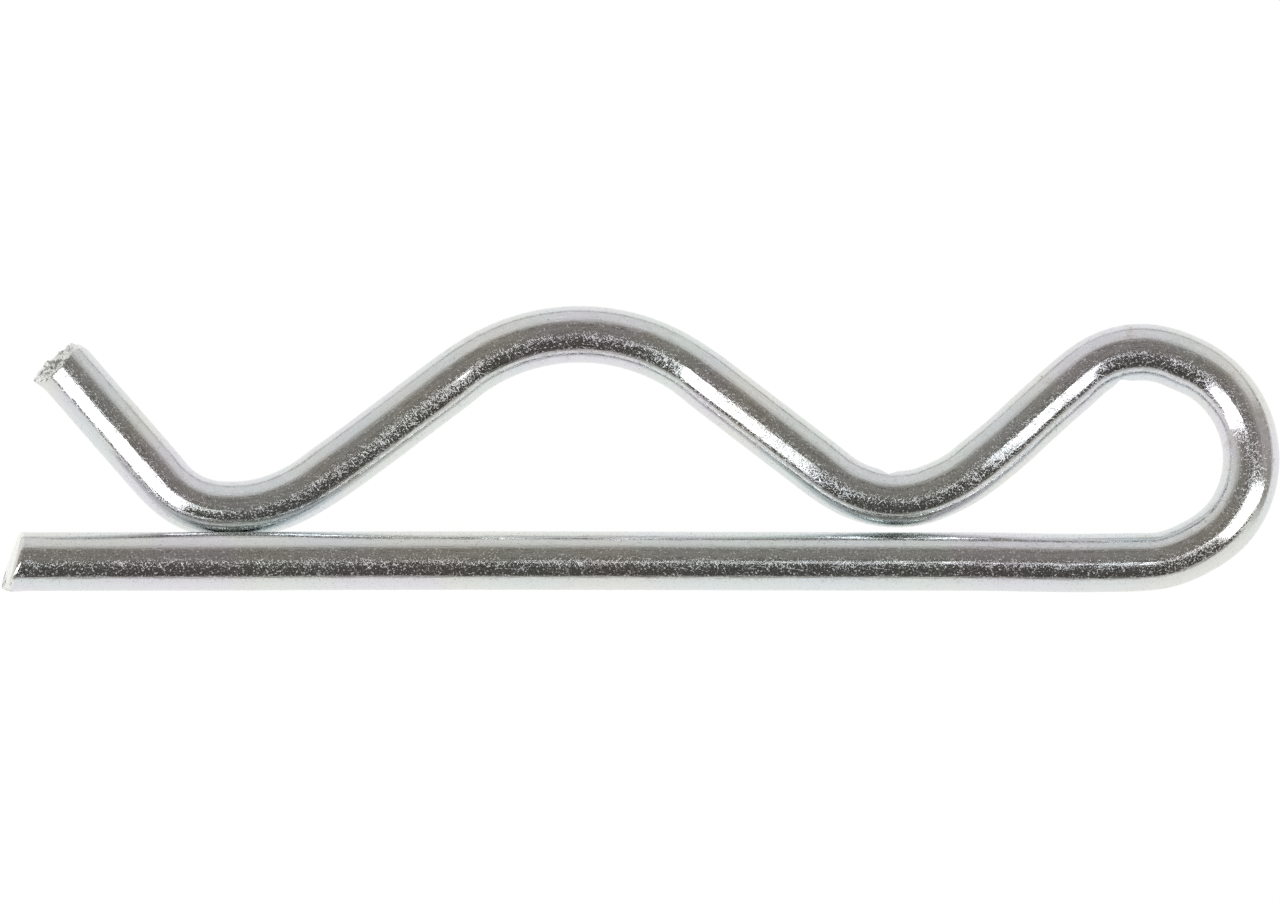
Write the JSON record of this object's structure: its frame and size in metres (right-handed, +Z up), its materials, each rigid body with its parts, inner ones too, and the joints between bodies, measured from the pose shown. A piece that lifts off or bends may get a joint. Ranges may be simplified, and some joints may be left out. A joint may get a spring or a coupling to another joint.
{
  "type": "spring cotter pin (r-clip)",
  "caption": "Spring clip bent from round wire: a straight leg goes through a cross hole, and a wavy arm snaps over the outside of the shaft.",
  "frame": {"origin": "middle of the clip's box, at the height of the surface that the clip lies on", "axes": "+X along the leg, from its sheared end towards the loop; +Y square to the leg, towards the crest of the arm; +Z up, square to the plane of the arm"},
  "size_m": [0.0652, 0.0146, 0.0049],
  "materials": {
    "zinc_plated_wire": "bright zinc plated spring steel wire, clear blue passivation, fine drawing lines and faint pitting"
  },
  "bodies": {
    "root": {"clip_wire": "zinc_plated_wire"}
  },
  "joints": []
}
